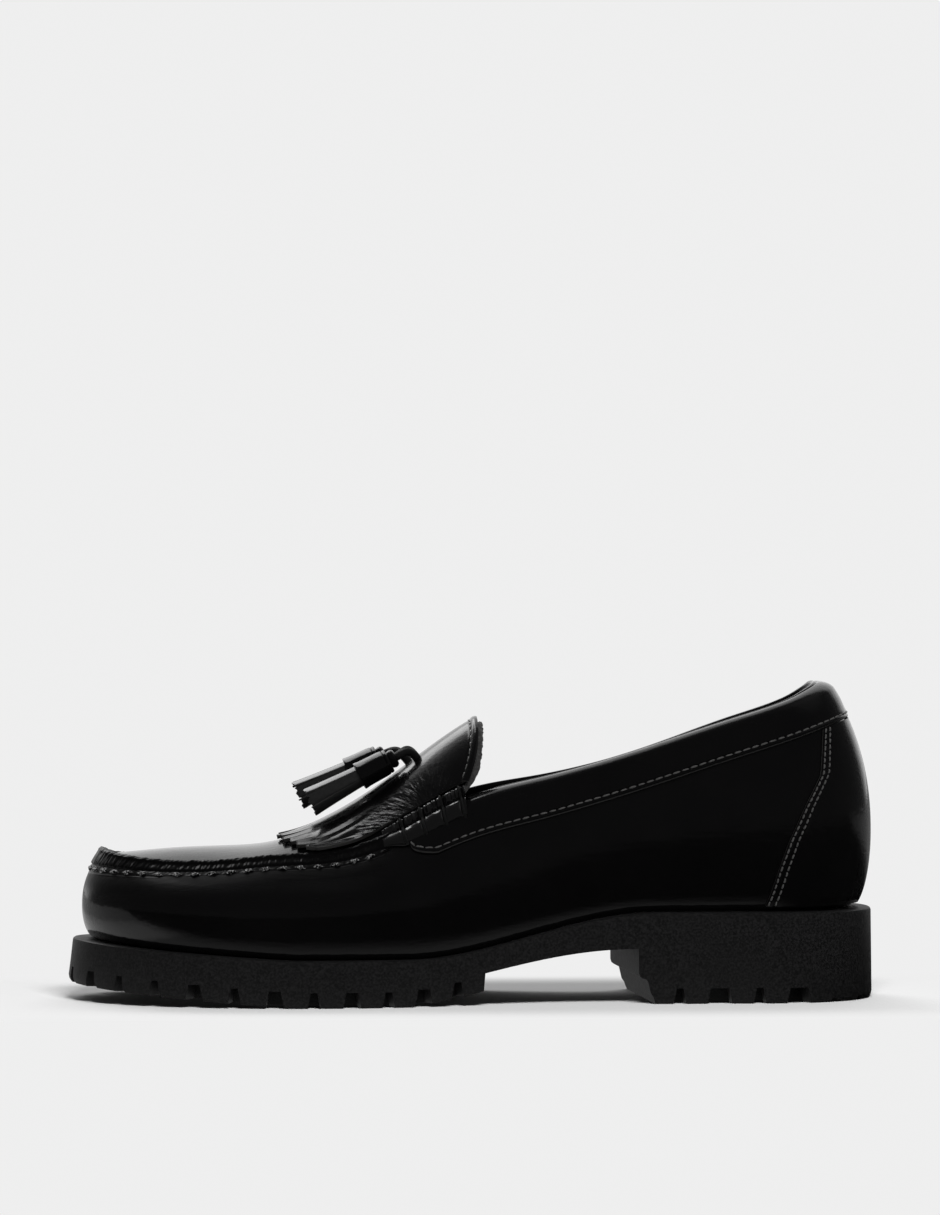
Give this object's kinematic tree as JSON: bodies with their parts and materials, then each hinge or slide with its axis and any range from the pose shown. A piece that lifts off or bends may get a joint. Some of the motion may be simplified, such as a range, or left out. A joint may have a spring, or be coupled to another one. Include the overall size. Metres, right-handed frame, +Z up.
{
  "type": "tassel loafer",
  "caption": "Slip-on leather loafer with a moccasin toe, fringed kiltie, tassels and a lugged rubber sole; a left shoe that stands empty on its sole.",
  "frame": {"origin": "on the floor, under the middle of the shoe's bounding box", "axes": "+Z up, +X from toe to heel, +Y towards the medial (inner) side"},
  "size_m": [0.3, 0.1061, 0.1179],
  "materials": {
    "rubber": "satin moulded black rubber",
    "leather": "high-shine black leather",
    "lining": "matt black lining leather"
  },
  "bodies": {
    "root": {"outsole": "rubber", "insole": "lining", "upper": "leather", "tongue": "leather", "kiltie": "leather", "apron_seam": "leather", "side_roll_lateral": "leather", "side_roll_medial": "leather", "collar_band": "leather", "heel_counter": "leather", "tassel_lateral": "leather", "tassel_medial": "leather", "tassel_lace_lateral": "leather", "tassel_lace_medial": "leather"}
  },
  "joints": []
}
